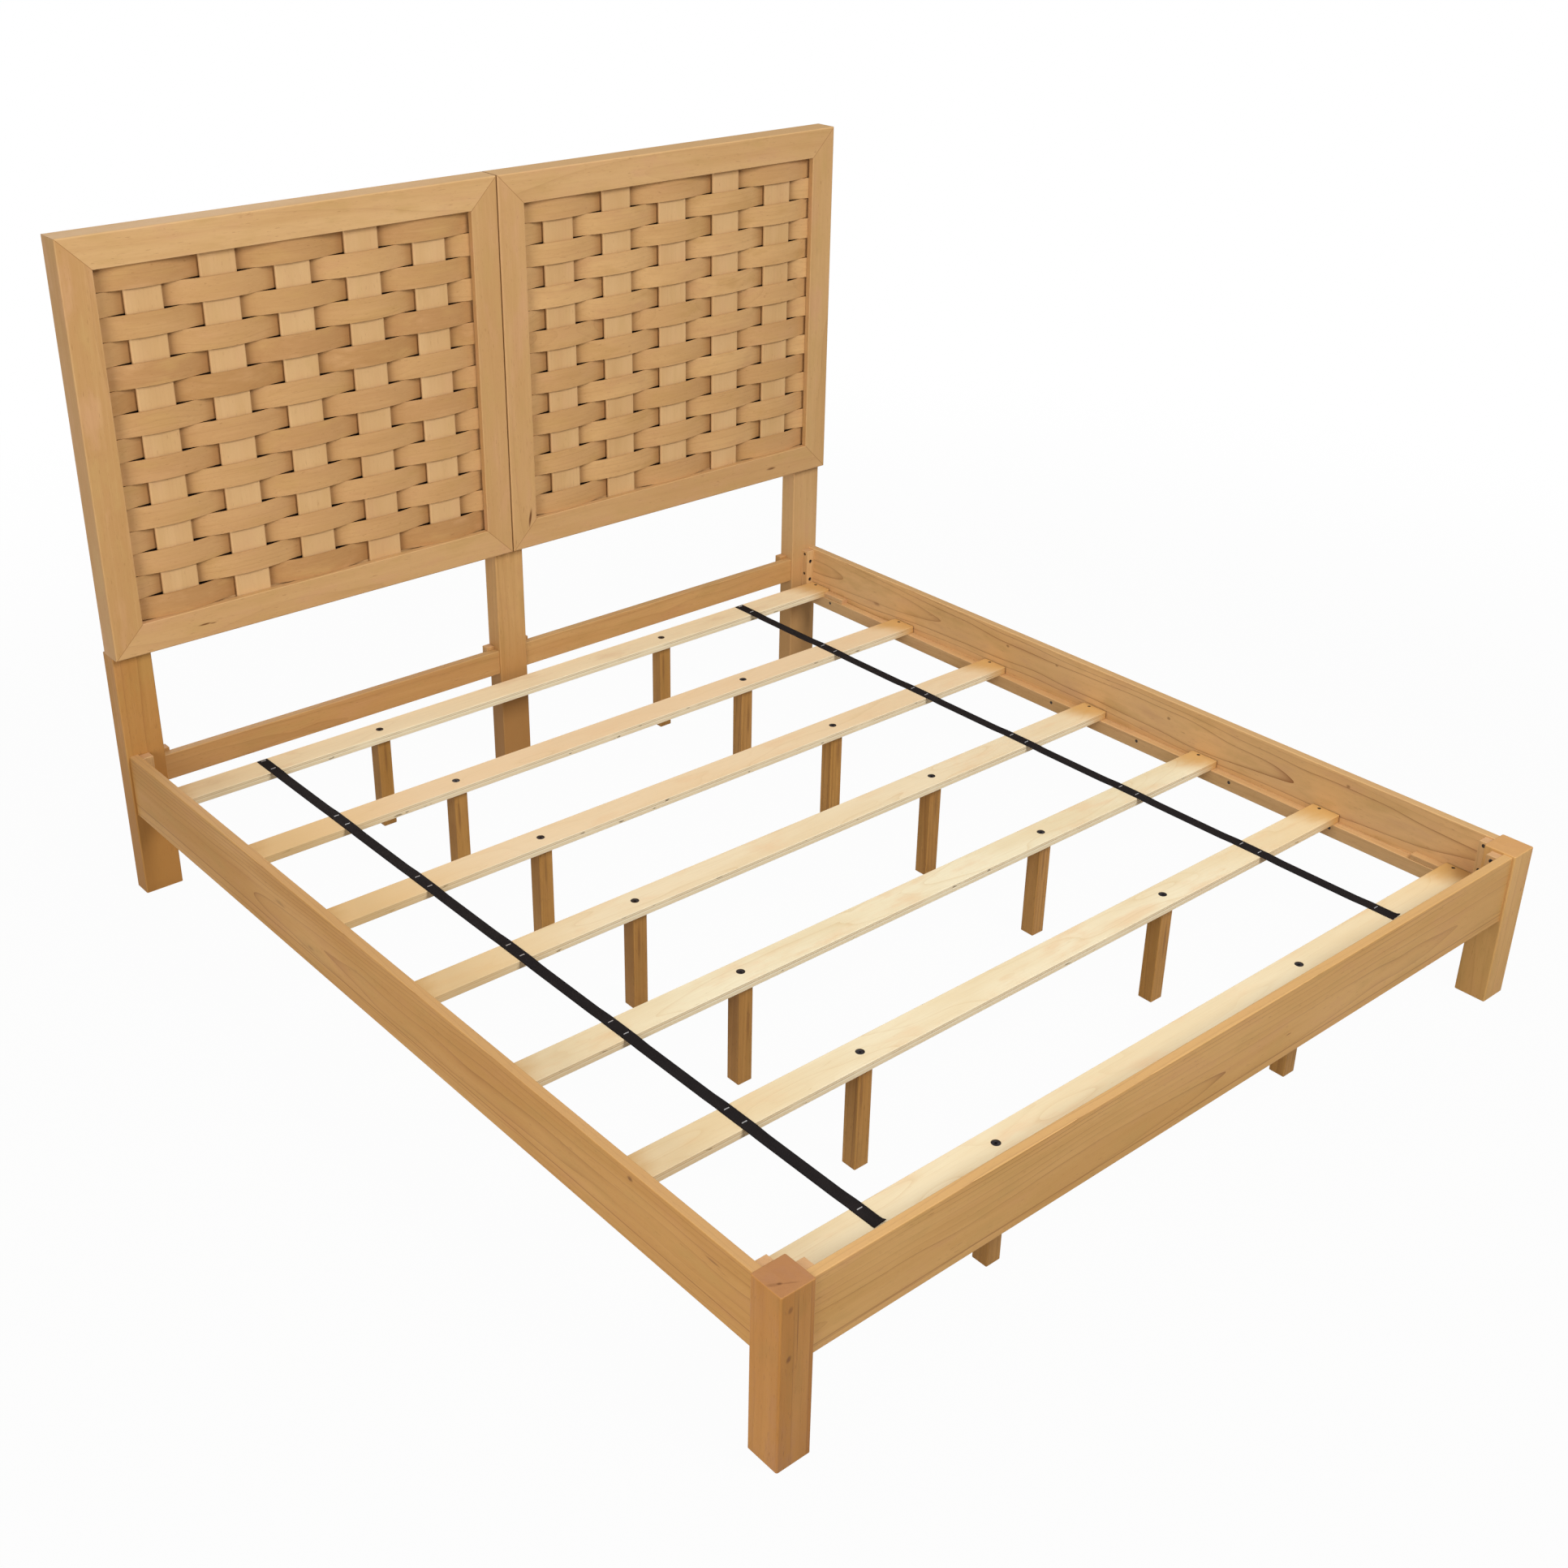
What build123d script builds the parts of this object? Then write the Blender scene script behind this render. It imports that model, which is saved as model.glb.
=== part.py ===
from build123d import *
from math import radians, tan
import os

# King-size wooden bed frame: woven two-panel headboard, rails, slats and support legs.
# Millimetres. +X to the right seen from the foot, +Y towards the headboard, +Z up.
# The origin is on the floor, below the middle of the frame.

# Overall sizes
bed_width = 2000.0
bed_length = 2178.0
headboard_top = 1450.0
edge_round = 2.0

# Headboard panels: two mitred frames side by side
panel_height = 876.0
panel_thick = 62.0
member_width = 68.0
panel_seam = 2.5
panel_outer_round = 3.5
panel_inner_round = 1.5
groove_depth = 12.0
groove_lip = 14.0

# Woven strips held in the panel grooves
upright_count = 5
upright_width = 81.0
upright_thick = 8.0
upright_round = 3.5
upright_edge_margin = 102.0
row_count = 15
row_thick = 3.0
row_gap = 0.8
strip_end_clear = 0.5
weave_clear = 2.2
groove_clear = 0.2

# Backing boards behind the weave, in grooves of their own
back_thick = 5.0
back_gap = 2.0
back_clear = 0.2

# Posts below the headboard
post_width = 86.0
centre_post_width = 78.0
post_thick = 48.0
post_setback = 22.0
post_round = 3.0
tenon_length = 40.0
tenon_thick = 22.0
tenon_shoulder = 14.0
tenon_clear = 0.2

# Stretcher boards between the posts
stretcher_height = 61.0
stretcher_thick = 20.0
stretcher_bottom = 255.0
stretcher_setback = 5.0
stretcher_block_rise = 7.0

# Front legs
leg_side = 68.0
leg_height = 344.0
leg_round = 3.5
leg_top_round = 2.0
leg_foot_chamfer = 1.5

# Side rails, foot rail and cleats
rail_height = 144.0
foot_rail_height = 148.0
rail_thick = 20.0
rail_drop = 3.0
rail_inset = 6.0
cleat_width = 22.0
cleat_height = 31.0
cleat_end_gap = 0.8

# Corner blocks at the rail ends
block_thick = 21.0
block_width = 24.0
block_drop = 3.0
block_chamfer = 1.0

# Slats and their support legs
slat_count = 7
slat_width = 68.0
slat_thick = 18.0
slat_end_gap = 0.9
slat_end_round = 4.0
slat_edge_round = 1.2
slat_head_gap = 0.5
slat_foot_gap = 2.5
support_side = 34.0
support_round = 2.0
support_spread = 833.0

# Stop blocks beside the first and the last slat
stop_length = 70.0
stop_height = 12.0
stop_width = 20.0
stop_gap = 0.4

# Webbing straps and their staples
strap_width = 25.0
strap_thick = 1.6
strap_spread = 1406.0
strap_head_margin = 4.0
strap_foot_margin = 10.0
staple_wire = 1.2
staple_crown = 11.0
staple_leg = 9.0
staple_offset = 23.0
staple_hole_clear = 0.1

# Fasteners
hole_clear = 0.2
block_bolt_radius = 3.0
block_bolt_head_radius = 5.0
block_bolt_head_height = 6.0
block_bolt_recess = 7.0
block_bolt_reach = 25.0
block_bolt_socket = 2.5
side_bolt_drop = 33.0
foot_bolt_drop = 15.0
rail_bolt_spacing = 52.0
stretcher_bolt_spacing = 28.0
slat_bolt_radius = 4.0
slat_bolt_head_radius = 7.5
slat_bolt_head_height = 4.0
slat_bolt_recess = 5.0
slat_bolt_recess_clear = 1.0
slat_bolt_reach = 38.0
slat_bolt_socket = 3.0
socket_depth = 2.5
screw_radius = 2.0
screw_head_radius = 4.0
screw_head_angle = 82.0
screw_length = 36.0
side_screw_drop = 12.0
foot_screw_drop = 41.0
rail_screw_spacing = 56.0
stretcher_screw_spacing = 52.0
slat_screw_offset = 12.0
cleat_screw_count = 8
cleat_screw_inset = 92.0
cleat_screw_pitch = 265.0
cleat_screw_drop = 10.0

# Planes and levels worked out from the sizes above
head_y = bed_length / 2
foot_y = -bed_length / 2
post_front = head_y - post_thick
panel_front = post_front - post_setback
panel_back = panel_front + panel_thick
panel_bottom = headboard_top - panel_height
panel_width = (bed_width - panel_seam) / 2
opening_width = panel_width - 2 * member_width
opening_height = panel_height - 2 * member_width
panel_middle_x = (panel_seam + panel_width) / 2
panel_middle_z = panel_bottom + panel_height / 2
rail_top = leg_height - rail_drop
rail_bottom = rail_top - rail_height
foot_rail_bottom = rail_top - foot_rail_height
rail_outer_x = bed_width / 2 - rail_inset
rail_inner_x = rail_outer_x - rail_thick
foot_rail_front = foot_y + rail_inset
foot_rail_back = foot_rail_front + rail_thick
leg_inner_x = bed_width / 2 - leg_side
leg_back = foot_y + leg_side
cleat_top = rail_bottom + cleat_height
slat_top = cleat_top + slat_thick
block_top = rail_top - block_drop
block_height = block_top - cleat_top
stretcher_front = post_front + stretcher_setback
stretcher_back = stretcher_front + stretcher_thick
stretcher_middle = stretcher_bottom + stretcher_height / 2
side_x = {"left": -1, "right": 1}

screw_head_height = (screw_head_radius - screw_radius) / tan(radians(screw_head_angle / 2))

# Slats are spaced evenly between the head blocks and the foot blocks
slat_first_y = post_front - block_thick - slat_head_gap - slat_width / 2
slat_last_y = leg_back + block_thick + slat_foot_gap + slat_width / 2
slat_pitch = (slat_first_y - slat_last_y) / (slat_count - 1)
slat_places = [slat_first_y - slat_pitch * i for i in range(slat_count)]
slat_length = 2 * (rail_inner_x - slat_end_gap)

# The rows bow round the uprights as arcs, each one upright pitch long
strip_reach = groove_depth - strip_end_clear
upright_pitch = (opening_width - 2 * upright_edge_margin) / (upright_count - 1)
half_pitch = upright_pitch / 2
clear_rise = (upright_thick + row_thick) / 2 + weave_clear
bow = clear_rise / (1 - (upright_width / upright_pitch) ** 2)
end_run = upright_edge_margin - half_pitch + strip_reach
end_shift = end_run * bow / half_pitch
groove_width = 2 * end_shift + row_thick + 2 * groove_clear
weave_y = panel_front + groove_lip + groove_width / 2
row_pitch = opening_height / row_count
back_front = weave_y + bow + row_thick / 2 + back_gap

# Bolt and screw places: each plane lies on the head's outer face and points out of the wood
side_bolts = []
foot_bolts = []
stretcher_bolts = []
side_screws = []
foot_screws = []
stretcher_screws = []
cleat_screws = []
block_middle_x = rail_inner_x - block_width / 2
block_inner_x = rail_inner_x - block_width
head_block_face = post_front - block_thick
foot_block_face = leg_back + block_thick
foot_rail_block_x = leg_inner_x - block_thick
foot_rail_block_y = foot_rail_back + block_width
outer_block_x = bed_width / 2 - post_width - block_thick
centre_block_x = centre_post_width / 2 + block_thick
stretcher_block_y = stretcher_back + stretcher_thick
cleat_inner_x = rail_inner_x - cleat_width
cleat_screw_z = cleat_top - cleat_screw_drop
for s in (-1, 1):
    inwards = (-s, 0, 0)
    outwards = (s, 0, 0)
    to_head = (0, 1, 0)
    to_foot = (0, -1, 0)
    for i in range(2):
        z = rail_top - side_bolt_drop - i * rail_bolt_spacing
        side_bolts.append(Plane((s * block_middle_x, head_block_face, z), z_dir=to_foot))
        side_bolts.append(Plane((s * block_middle_x, foot_block_face, z), z_dir=to_head))
        z = rail_top - foot_bolt_drop - i * rail_bolt_spacing
        y = foot_rail_block_y - block_width / 2
        foot_bolts.append(Plane((s * foot_rail_block_x, y, z), z_dir=inwards))
        z = stretcher_middle + (i - 0.5) * stretcher_bolt_spacing
        y = stretcher_block_y - stretcher_thick / 2
        stretcher_bolts.append(Plane((s * outer_block_x, y, z), z_dir=inwards))
        stretcher_bolts.append(Plane((s * centre_block_x, y, z), z_dir=outwards))
        z = rail_top - side_screw_drop - i * rail_screw_spacing
        for y in (head_block_face + block_thick / 2, foot_block_face - block_thick / 2):
            side_screws.append(Plane((s * block_inner_x, y, z), z_dir=inwards))
        z = rail_top - foot_screw_drop - i * rail_screw_spacing
        x = foot_rail_block_x + block_thick / 2
        foot_screws.append(Plane((s * x, foot_rail_block_y, z), z_dir=to_head))
        z = stretcher_middle + (i - 0.5) * stretcher_screw_spacing
        for x in (outer_block_x + block_thick / 2, centre_block_x - block_thick / 2):
            stretcher_screws.append(Plane((s * x, stretcher_block_y, z), z_dir=to_head))
    for i in range(cleat_screw_count):
        y = leg_back + cleat_screw_inset + i * cleat_screw_pitch
        cleat_screws.append(Plane((s * cleat_inner_x, y, cleat_screw_z), z_dir=inwards))
slat_screws = [
    Plane((s * (rail_inner_x - cleat_width / 2), y + slat_screw_offset, slat_top))
    for s in (-1, 1)
    for y in slat_places
]
slat_bolts = [Plane((s * support_spread / 2, y, slat_top)) for s in (-1, 1) for y in slat_places]
staple_spots = [
    (s * strap_spread / 2, y + t * staple_offset)
    for s in (-1, 1)
    for y in slat_places
    for t in (-1, 1)
]


def save(piece, name):
    """Names one finished piece and writes its file."""
    piece.part.label = name
    export_step(piece.part, f"parts/{name}.step")


def drill_block_bolts(planes):
    """Cuts the recessed holes of the corner block bolts."""
    with Locations(*planes):
        CounterBoreHole(
            radius=block_bolt_radius + hole_clear,
            counter_bore_radius=block_bolt_head_radius + hole_clear,
            counter_bore_depth=block_bolt_recess,
            depth=block_thick + block_bolt_reach + hole_clear,
        )


def drill_screws(planes):
    """Cuts the countersunk holes of the wood screws."""
    with Locations(*planes):
        CounterSinkHole(
            radius=screw_radius + hole_clear / 2,
            counter_sink_radius=screw_head_radius + hole_clear,
            depth=screw_length + hole_clear,
            counter_sink_angle=screw_head_angle,
        )


def drill_slat_bolts(planes):
    """Cuts the recessed holes that hold a support leg under its slat."""
    with Locations(*planes):
        CounterBoreHole(
            radius=slat_bolt_radius + hole_clear,
            counter_bore_radius=slat_bolt_head_radius + slat_bolt_recess_clear,
            counter_bore_depth=slat_bolt_recess,
            depth=slat_thick + slat_bolt_reach + hole_clear,
        )


def shape_tenon(x_low, x_high, clear):
    """Adds the tenon of a post top or, with a clearance, cuts its mortise."""
    middle_y = (post_front + panel_back) / 2
    mode = Mode.ADD if clear == 0 else Mode.SUBTRACT
    with BuildSketch(Plane.XY.offset(panel_bottom)) as tongue:
        with Locations(((x_low + x_high) / 2, middle_y)):
            Rectangle(x_high - x_low + 2 * clear, tenon_thick + 2 * clear)
    extrude(tongue.sketch, amount=tenon_length + clear, mode=mode)


os.makedirs("parts", exist_ok=True)

outer_tenon = (bed_width / 2 - post_width + tenon_shoulder, bed_width / 2 - tenon_shoulder)
centre_tenon = (panel_seam / 2 + tenon_shoulder / 2, centre_post_width / 2 - tenon_shoulder / 2)

# Headboard frame members, mitred at the corners and grooved for the strips and the backing boards
grooves = [
    (panel_front + groove_lip, groove_width),
    (back_front - back_clear, back_thick + 2 * back_clear),
]
for side, s in side_x.items():
    panel_middle = (s * panel_middle_x, (panel_front + panel_back) / 2, panel_middle_z)
    inner_x = panel_seam / 2
    outer_x = bed_width / 2
    low = panel_bottom
    high = headboard_top
    corners = {
        "top_rail": [(inner_x, high), (outer_x, high), (-1, -1), (1, -1)],
        "bottom_rail": [(outer_x, low), (inner_x, low), (1, 1), (-1, 1)],
        "outer_stile": [(outer_x, high), (outer_x, low), (-1, 1), (-1, -1)],
        "inner_stile": [(inner_x, low), (inner_x, high), (1, -1), (1, 1)],
    }
    for name, (start, end, in_end, in_start) in corners.items():
        far = (end[0] + in_end[0] * member_width, end[1] + in_end[1] * member_width)
        near = (start[0] + in_start[0] * member_width, start[1] + in_start[1] * member_width)
        outline = [(s * x, z) for x, z in (start, end, far, near)]
        length_axis = Axis.X if name.endswith("rail") else Axis.Z
        with BuildPart() as member:
            with BuildSketch(Plane.XZ.offset(-panel_front)):
                Polygon(*outline, align=None)
            extrude(amount=-panel_thick)
            long_edges = member.edges().filter_by(length_axis)
            fillet(long_edges.sort_by_distance(panel_middle)[:2], panel_inner_round)
            long_edges = member.edges().filter_by(length_axis)
            fillet(long_edges.sort_by_distance(panel_middle)[-2:], panel_outer_round)
            for front, width in grooves:
                with BuildSketch(Plane.XZ.offset(-front)):
                    with Locations((s * panel_middle_x, panel_middle_z)):
                        Rectangle(opening_width + 2 * groove_depth, opening_height + 2 * groove_depth)
                extrude(amount=-width, mode=Mode.SUBTRACT)
            if name != "top_rail":
                for tenon in (outer_tenon, centre_tenon):
                    shape_tenon(*sorted(s * x for x in tenon), tenon_clear)
        save(member, f"{side}_{name}")

# Woven strips: straight uprights and rows that pass in front of and behind them
for side, s in side_x.items():
    panel_x = s * panel_middle_x
    first_upright = panel_x - upright_pitch * (upright_count - 1) / 2
    opening_low = panel_bottom + member_width
    with BuildPart() as uprights:
        with BuildSketch(Plane.XY.offset(opening_low - strip_reach)):
            for i in range(upright_count):
                with Locations((first_upright + i * upright_pitch, weave_y)):
                    Rectangle(upright_width, upright_thick)
        extrude(amount=opening_height + 2 * strip_reach)
        fillet(uprights.edges().filter_by(Axis.Z), upright_round)
    save(uprights, f"{side}_weave_uprights")

    left_end = panel_x - opening_width / 2 - strip_reach
    right_end = panel_x + opening_width / 2 + strip_reach
    with BuildPart() as rows:
        for parity in (0, 1):
            first_bow = bow if parity == 0 else -bow
            last_bow = first_bow * (-1) ** (upright_count - 1)
            planes = [
                Plane.XY.offset(opening_low + i * row_pitch + row_gap / 2)
                for i in range(row_count)
                if (row_count - 1 - i) % 2 == parity
            ]
            with BuildSketch(*planes):
                with BuildLine():
                    for face in (-row_thick / 2, row_thick / 2):
                        y = weave_y + face
                        left_y = y + end_shift * first_bow / bow
                        right_y = y + end_shift * last_bow / bow
                        start = first_upright - half_pitch
                        TangentArc((left_end, left_y), (start, y), tangent=(1, 0))
                        for i in range(upright_count):
                            x = start + i * upright_pitch
                            top = y - first_bow * (-1) ** i
                            ThreePointArc((x, y), (x + half_pitch, top), (x + upright_pitch, y))
                        finish = start + upright_count * upright_pitch
                        TangentArc((right_end, right_y), (finish, y), tangent=(-1, 0))
                    for x, shift in ((left_end, first_bow), (right_end, last_bow)):
                        end_y = weave_y + end_shift * shift / bow
                        Line((x, end_y - row_thick / 2), (x, end_y + row_thick / 2))
                make_face()
            extrude(amount=row_pitch - row_gap)
    save(rows, f"{side}_weave_rows")

# Backing boards behind the weave, one in each panel
with BuildPart() as back_panels:
    with BuildSketch(Plane.XZ.offset(-back_front)):
        for s in (-1, 1):
            with Locations((s * panel_middle_x, panel_middle_z)):
                Rectangle(opening_width + 2 * strip_reach, opening_height + 2 * strip_reach)
    extrude(amount=-back_thick)
save(back_panels, "back_panels")

# Posts that carry the panels on tenons
posts = {
    "left_post": (-bed_width / 2, post_width, [(-outer_tenon[1], -outer_tenon[0])]),
    "centre_post": (
        -centre_post_width / 2,
        centre_post_width,
        [(-centre_tenon[1], -centre_tenon[0]), centre_tenon],
    ),
    "right_post": (bed_width / 2 - post_width, post_width, [outer_tenon]),
}
for name, (x_low, width, tenons) in posts.items():
    with BuildPart() as post:
        with BuildSketch():
            with Locations((x_low + width / 2, post_front + post_thick / 2)):
                Rectangle(width, post_thick)
        extrude(amount=panel_bottom)
        fillet(post.edges().filter_by(Axis.Z), post_round)
        for tenon in tenons:
            shape_tenon(*tenon, 0)
        drill_block_bolts(side_bolts + stretcher_bolts)
    save(post, name)

# Stretcher boards and the blocks behind their ends
board_low = centre_post_width / 2
board_high = bed_width / 2 - post_width
board_middle = (board_low + board_high) / 2
for side, s in side_x.items():
    with BuildPart() as stretcher:
        with BuildSketch(Plane.XY.offset(stretcher_bottom)):
            with Locations((s * board_middle, stretcher_front + stretcher_thick / 2)):
                Rectangle(board_high - board_low, stretcher_thick)
        extrude(amount=stretcher_height)
        fillet(stretcher.edges().filter_by(Axis.X), edge_round)
        drill_screws(stretcher_screws)
    save(stretcher, f"{side}_stretcher")

with BuildPart() as stretcher_blocks:
    with BuildSketch(Plane.XY.offset(stretcher_bottom - stretcher_block_rise)):
        for s in (-1, 1):
            for x in (board_low + block_thick / 2, board_high - block_thick / 2):
                with Locations((s * x, stretcher_back + stretcher_thick / 2)):
                    Rectangle(block_thick, stretcher_thick)
    extrude(amount=stretcher_height + 2 * stretcher_block_rise)
    chamfer(stretcher_blocks.faces().filter_by(Axis.Z).edges(), block_chamfer)
    drill_block_bolts(stretcher_bolts)
    drill_screws(stretcher_screws)
save(stretcher_blocks, "stretcher_blocks")

# Side rails, each with a cleat along its lower edge
for side, s in side_x.items():
    with BuildPart() as side_rail:
        with BuildSketch(Plane.XY.offset(rail_bottom)):
            with Locations((s * (rail_inner_x + rail_thick / 2), (leg_back + post_front) / 2)):
                Rectangle(rail_thick, post_front - leg_back)
        extrude(amount=rail_height)
        fillet(side_rail.edges().filter_by(Axis.Y), edge_round)
        drill_screws(side_screws + cleat_screws)
    save(side_rail, f"{side}_side_rail")

    with BuildPart() as cleat:
        with BuildSketch(Plane.XY.offset(rail_bottom)):
            with Locations((s * (rail_inner_x - cleat_width / 2), (leg_back + post_front) / 2)):
                Rectangle(cleat_width, post_front - leg_back - 2 * cleat_end_gap)
        extrude(amount=cleat_height)
        fillet(cleat.edges().filter_by(Axis.Y), edge_round / 2)
        drill_screws(cleat_screws + slat_screws)
    save(cleat, f"{side}_cleat")

with BuildPart() as foot_rail:
    with BuildSketch(Plane.XY.offset(foot_rail_bottom)):
        with Locations((0, (foot_rail_front + foot_rail_back) / 2)):
            Rectangle(2 * leg_inner_x, rail_thick)
    extrude(amount=foot_rail_height)
    fillet(foot_rail.edges().filter_by(Axis.X), edge_round)
    drill_screws(foot_screws)
save(foot_rail, "foot_rail")

# Front legs
for side, s in side_x.items():
    with BuildPart() as leg:
        with BuildSketch():
            with Locations((s * (bed_width - leg_side) / 2, foot_y + leg_side / 2)):
                Rectangle(leg_side, leg_side)
        extrude(amount=leg_height)
        fillet(leg.edges().filter_by(Axis.Z), leg_round)
        fillet(leg.faces().sort_by(Axis.Z)[-1].edges(), leg_top_round)
        chamfer(leg.faces().sort_by(Axis.Z)[0].edges(), leg_foot_chamfer)
        drill_block_bolts(side_bolts + foot_bolts)
    save(leg, f"{side}_leg")

# Corner blocks at both ends of the side rails and of the foot rail
for side, s in side_x.items():
    blocks = {
        "head_block": (block_middle_x, head_block_face + block_thick / 2, block_width, block_thick),
        "foot_block": (block_middle_x, foot_block_face - block_thick / 2, block_width, block_thick),
        "foot_rail_block": (
            foot_rail_block_x + block_thick / 2,
            foot_rail_block_y - block_width / 2,
            block_thick,
            block_width,
        ),
    }
    for name, (x, y, x_size, y_size) in blocks.items():
        with BuildPart() as block:
            with BuildSketch(Plane.XY.offset(cleat_top)):
                with Locations((s * x, y)):
                    Rectangle(x_size, y_size)
            extrude(amount=block_height)
            chamfer(block.faces().sort_by(Axis.Z)[-1].edges(), block_chamfer)
            drill_block_bolts(side_bolts + foot_bolts)
            drill_screws(side_screws + foot_screws)
        save(block, f"{side}_{name}")

# Stop blocks on the cleats, beside the first and the last slat
with BuildPart() as stops:
    with BuildSketch(Plane.XY.offset(cleat_top)):
        reach = slat_width / 2 + stop_gap + stop_length / 2
        for s in (-1, 1):
            for y in (slat_first_y - reach, slat_last_y + reach):
                with Locations((s * (rail_inner_x - stop_width / 2), y)):
                    Rectangle(stop_width, stop_length)
    extrude(amount=stop_height)
    chamfer(stops.faces().filter_by(Axis.Z).edges().filter_by(Axis.Y), block_chamfer)
save(stops, "stop_blocks")

# Slats on the cleats, each on two support legs
for i, y in enumerate(slat_places):
    with BuildPart() as slat:
        with BuildSketch(Plane.XY.offset(cleat_top)):
            with Locations((0, y)):
                Rectangle(slat_length, slat_width)
        extrude(amount=slat_thick)
        fillet(slat.edges().filter_by(Axis.Z), slat_end_round)
        fillet(slat.edges().filter_by(Axis.X), slat_edge_round)
        drill_slat_bolts([p for p in slat_bolts if p.origin.Y == y])
        drill_screws([p for p in slat_screws if abs(p.origin.Y - y) < slat_width / 2])
        spots = [p for p in staple_spots if abs(p[1] - y) < slat_width / 2]
        with BuildSketch(Plane.XY.offset(slat_top)):
            for spot_x, spot_y in spots:
                for t in (-1, 1):
                    with Locations((spot_x + t * (staple_crown - staple_wire) / 2, spot_y)):
                        Circle(staple_wire / 2 + staple_hole_clear)
        extrude(amount=-staple_leg, mode=Mode.SUBTRACT)
    save(slat, f"slat_{i + 1}")

    for side, s in side_x.items():
        with BuildPart() as support:
            with BuildSketch():
                with Locations((s * support_spread / 2, y)):
                    Rectangle(support_side, support_side)
            extrude(amount=cleat_top)
            fillet(support.edges().filter_by(Axis.Z), support_round)
            chamfer(support.faces().sort_by(Axis.Z)[0].edges(), support_round / 2)
            drill_slat_bolts([p for p in slat_bolts if p.origin.Y == y])
        save(support, f"{side}_support_{i + 1}")

# Webbing straps over the slats
strap_head = slat_first_y + slat_width / 2 - strap_head_margin
strap_foot = slat_last_y - slat_width / 2 + strap_foot_margin
for side, s in side_x.items():
    with BuildPart() as strap:
        with BuildSketch(Plane.XY.offset(slat_top)):
            with Locations((s * strap_spread / 2, (strap_head + strap_foot) / 2)):
                Rectangle(strap_width, strap_head - strap_foot)
            for spot_x, spot_y in staple_spots:
                for t in (-1, 1):
                    with Locations((spot_x + t * (staple_crown - staple_wire) / 2, spot_y)):
                        Circle(staple_wire / 2 + staple_hole_clear, mode=Mode.SUBTRACT)
        extrude(amount=strap_thick)
    save(strap, f"{side}_strap")

# Wire staples, each a crown with two legs
with BuildPart() as staples:
    crown_z = slat_top + strap_thick + staple_wire / 2
    leg_x = (staple_crown - staple_wire) / 2
    for spot_x, spot_y in staple_spots:
        with Locations((spot_x, spot_y, crown_z)):
            Box(staple_crown, staple_wire, staple_wire)
        for t in (-1, 1):
            with Locations((spot_x + t * leg_x, spot_y, crown_z)):
                Cylinder(
                    staple_wire / 2,
                    strap_thick + staple_leg,
                    align=(Align.CENTER, Align.CENTER, Align.MAX),
                )
save(staples, "staples")

# Bolts with a hexagon socket through the slats into the support legs
with BuildPart() as slat_bolt_set:
    with BuildSketch(*[p.offset(-slat_bolt_recess) for p in slat_bolts]):
        Circle(slat_bolt_head_radius)
    extrude(amount=slat_bolt_head_height)
    with BuildSketch(*[p.offset(-slat_bolt_recess) for p in slat_bolts]):
        Circle(slat_bolt_radius)
    extrude(amount=slat_bolt_recess - slat_thick - slat_bolt_reach)
    with BuildSketch(*[p.offset(slat_bolt_head_height - slat_bolt_recess) for p in slat_bolts]):
        RegularPolygon(slat_bolt_socket, 6)
    extrude(amount=-socket_depth, mode=Mode.SUBTRACT)
save(slat_bolt_set, "slat_bolts")

# Bolts with a hexagon socket through the corner blocks into the legs and posts
block_bolts = side_bolts + foot_bolts + stretcher_bolts
with BuildPart() as block_bolt_set:
    with BuildSketch(*[p.offset(-block_bolt_recess) for p in block_bolts]):
        Circle(block_bolt_head_radius)
    extrude(amount=block_bolt_head_height)
    with BuildSketch(*[p.offset(-block_bolt_recess) for p in block_bolts]):
        Circle(block_bolt_radius)
    extrude(amount=block_bolt_recess - block_thick - block_bolt_reach)
    with BuildSketch(*[p.offset(block_bolt_head_height - block_bolt_recess) for p in block_bolts]):
        RegularPolygon(block_bolt_socket, 6)
    extrude(amount=-socket_depth, mode=Mode.SUBTRACT)
save(block_bolt_set, "block_bolts")

# Countersunk wood screws in the blocks, the cleats and the slat ends
screws = side_screws + foot_screws + stretcher_screws + cleat_screws + slat_screws
with BuildPart() as screw_set:
    with Locations(*[p.offset(-hole_clear) for p in screws]):
        Cone(
            screw_radius,
            screw_head_radius,
            screw_head_height,
            align=(Align.CENTER, Align.CENTER, Align.MAX),
        )
        Cylinder(
            screw_radius,
            screw_length - hole_clear,
            align=(Align.CENTER, Align.CENTER, Align.MAX),
        )
save(screw_set, "wood_screws")
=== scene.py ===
import math
import random

import bmesh
import bpy
from mathutils import Euler, Matrix, Vector


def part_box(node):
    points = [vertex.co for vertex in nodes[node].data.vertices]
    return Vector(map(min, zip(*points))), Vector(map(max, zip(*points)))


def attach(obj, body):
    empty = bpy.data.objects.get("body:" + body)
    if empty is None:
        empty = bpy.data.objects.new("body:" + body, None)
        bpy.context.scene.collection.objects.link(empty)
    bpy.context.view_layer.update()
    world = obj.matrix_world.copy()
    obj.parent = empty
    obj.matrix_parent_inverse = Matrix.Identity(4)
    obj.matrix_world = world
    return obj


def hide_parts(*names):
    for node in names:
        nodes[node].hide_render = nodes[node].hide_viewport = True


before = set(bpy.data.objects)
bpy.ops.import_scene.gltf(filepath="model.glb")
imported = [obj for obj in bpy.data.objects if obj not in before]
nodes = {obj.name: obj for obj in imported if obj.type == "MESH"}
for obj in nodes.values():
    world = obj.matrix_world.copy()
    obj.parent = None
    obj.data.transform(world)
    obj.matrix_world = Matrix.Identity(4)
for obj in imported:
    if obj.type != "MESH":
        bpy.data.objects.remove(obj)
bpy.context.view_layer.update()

# A millimetre in the frame's metres, and how many pieces of a kind there are
MM = 0.001
SIDES = {"left": -1, "right": 1}
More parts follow.
